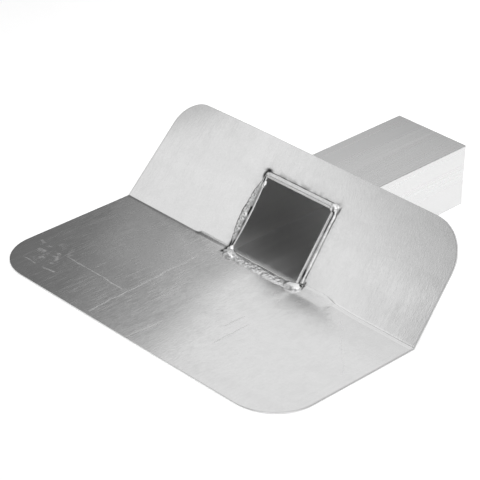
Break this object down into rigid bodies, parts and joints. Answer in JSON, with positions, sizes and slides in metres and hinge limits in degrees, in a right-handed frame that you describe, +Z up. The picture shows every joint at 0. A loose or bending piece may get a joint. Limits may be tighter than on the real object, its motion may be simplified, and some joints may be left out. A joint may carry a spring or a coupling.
{
  "type": "parapet roof outlet",
  "caption": "Welded aluminium roof outlet: a folded sheet flange with rounded corners and a leaning upstand, and a rectangular tube through it that drains water out through a parapet.",
  "frame": {"origin": "middle of the apron's underside, the face that lies on the roof deck", "axes": "+X along the fold, +Y along the tube and away from the roof, +Z up off the deck"},
  "size_m": [0.345, 0.373, 0.0854],
  "materials": {
    "sheet_aluminium": "mill finish with handling scratches",
    "tube_aluminium": "mill finish with lengthwise drawing lines",
    "weld_metal": "bright as welded"
  },
  "bodies": {
    "root": {"flange_plate": "sheet_aluminium", "outlet_tube": "tube_aluminium", "weld_bead": "weld_metal"}
  },
  "joints": []
}
